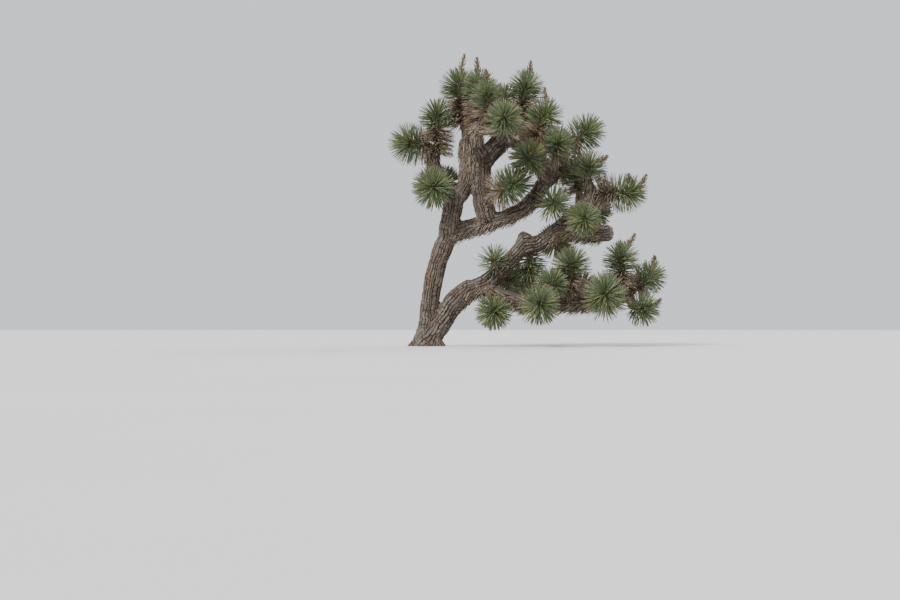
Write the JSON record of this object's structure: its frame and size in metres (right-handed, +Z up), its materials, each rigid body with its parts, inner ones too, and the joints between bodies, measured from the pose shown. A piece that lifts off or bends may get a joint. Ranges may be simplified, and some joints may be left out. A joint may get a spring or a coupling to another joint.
{
  "type": "joshua tree",
  "caption": "Branching desert tree with a leaning trunk, forked boughs and round heads of stiff dagger leaves on their ends, some with a dried flower spire.",
  "frame": {"origin": "middle of the flat cut under the trunk, at ground level", "axes": "+Z up, +X towards the side that the trunk leans to and the low stem leaves on, +Y away from the view"},
  "size_m": [4.167, 2.7748, 4.385],
  "materials": {
    "bark": "rough, fissured into plates",
    "leaves": "stiff, slightly waxy",
    "dead_leaves": "dry, matt",
    "flower_spire": "dry, matt"
  },
  "bodies": {
    "root": {"trunk": "bark", "left_bough": "bark", "left_outer_bough": "bark", "left_inner_bough": "bark", "right_bough": "bark", "right_bough_rise": "bark", "right_back_bough": "bark", "middle_bough": "bark", "middle_right_bough": "bark", "middle_back_bough": "bark", "middle_front_bough": "bark", "low_stem": "bark", "low_bough": "bark", "arching_bough": "bark", "crest_bough": "bark", "broken_stub": "bark", "crest_back_bough": "bark", "ground_bough": "bark", "ground_bough_middle": "bark", "ground_bough_end": "bark", "ground_back_bough": "bark", "ground_front_bough": "bark", "left_low_head": "leaves", "left_top_head": "leaves", "left_front_head": "leaves", "left_back_head": "leaves", "top_left_head": "leaves", "top_left_front_head": "leaves", "top_front_head": "leaves", "middle_front_head": "leaves", "middle_back_head": "leaves", "middle_head": "leaves", "top_right_head": "leaves", "top_far_head": "leaves", "right_near_head": "leaves", "right_middle_head": "leaves", "right_back_head": "leaves", "right_far_back_head": "leaves", "right_top_head": "leaves", "crotch_head": "leaves", "nook_head": "leaves", "crest_head": "leaves", "crest_back_head": "leaves", "under_arm_head": "leaves", "crest_front_head": "leaves", "arm_head": "leaves", "low_shoot_head": "leaves", "hanging_head": "leaves", "arch_back_head": "leaves", "foot_head": "leaves", "ground_up_head": "leaves", "low_back_head": "leaves", "ground_middle_head": "leaves", "ground_front_head": "leaves", "ground_right_front_head": "leaves", "ground_back_head": "leaves", "ground_far_back_head": "leaves", "end_up_head": "leaves", "end_right_head": "leaves", "end_low_head": "leaves"}
  },
  "joints": []
}
